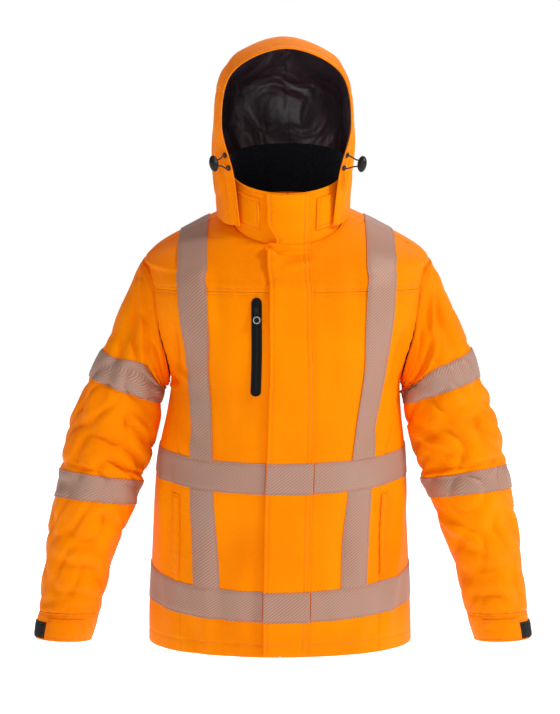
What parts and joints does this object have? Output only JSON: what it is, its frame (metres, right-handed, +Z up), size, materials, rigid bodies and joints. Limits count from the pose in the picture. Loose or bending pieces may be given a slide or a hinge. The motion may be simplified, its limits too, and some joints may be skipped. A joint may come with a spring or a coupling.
{
  "type": "hi-vis work jacket with a hood",
  "caption": "Hooded high-visibility work jacket, filled out as worn and hollow, with reflective tapes, a storm flap, a chest zip pocket and open cuffs and hem.",
  "frame": {"origin": "middle of the neck, level with the tops of the shoulders, where the wearer holds the jacket up", "axes": "+Z up, the front faces -Y, the wearer's left is at +X"},
  "size_m": [0.826, 0.2876, 1.001],
  "materials": {
    "shell": "fluorescent orange coated polyester, tightly woven, faint sheen",
    "reflective_tape": "segmented retro-reflective tape, grey strips over orange, fine slanted lines",
    "fleece": "black brushed fleece, matt",
    "hood_lining": "dark taffeta lining, soft sheen, creased",
    "hook_tape": "black hook tape",
    "cord": "black braided elastic cord",
    "trim": "black moulded acetal and laminated zip tape"
  },
  "bodies": {
    "garment": {"front_right": "shell", "yoke_right": "shell", "front_left": "shell", "yoke_left": "shell", "front_zip": "trim", "side_right": "shell", "side_left": "shell", "back": "shell", "sleeve_right": "shell", "cuff_right": "shell", "cuff_tab_right": "shell", "cuff_hook_tape_right": "hook_tape", "sleeve_left": "shell", "cuff_left": "shell", "cuff_tab_left": "shell", "cuff_hook_tape_left": "hook_tape", "collar": "shell", "collar_fleece": "fleece", "hood_right": "shell", "hood_crown": "shell", "hood_left": "shell", "hood_lining": "hood_lining", "storm_flap": "shell", "tape_waist_flap": "reflective_tape", "tape_hem_flap": "reflective_tape", "tape_waist": "reflective_tape", "tape_hem": "reflective_tape", "tape_front_right": "reflective_tape", "tape_back_right": "reflective_tape", "tape_shoulder_right": "reflective_tape", "tape_upper_sleeve_right": "reflective_tape", "tape_lower_sleeve_right": "reflective_tape", "tape_front_left": "reflective_tape", "tape_back_left": "reflective_tape", "tape_shoulder_left": "reflective_tape", "tape_upper_sleeve_left": "reflective_tape", "tape_lower_sleeve_left": "reflective_tape", "chest_zip": "trim", "chest_zip_slider": "trim", "pocket_welt_right": "shell", "hood_tab_right": "shell", "eyelet_upper_right": "trim", "eyelet_lower_right": "trim", "hood_cord_right": "cord", "toggle_right": "trim", "pocket_welt_left": "shell", "hood_tab_left": "shell", "eyelet_upper_left": "trim", "eyelet_lower_left": "trim", "hood_cord_left": "cord", "toggle_left": "trim"},
    "chest_pull": {"chest_zip_pull": "trim"}
  },
  "joints": [
    {"name": "chest_pull_swing", "type": "hinge", "parent": "garment", "child": "chest_pull", "pos_m": [-0.04125, -0.14007, -0.14757], "axis": [-1, 0, 0], "range_deg": [0, 150]}
  ]
}
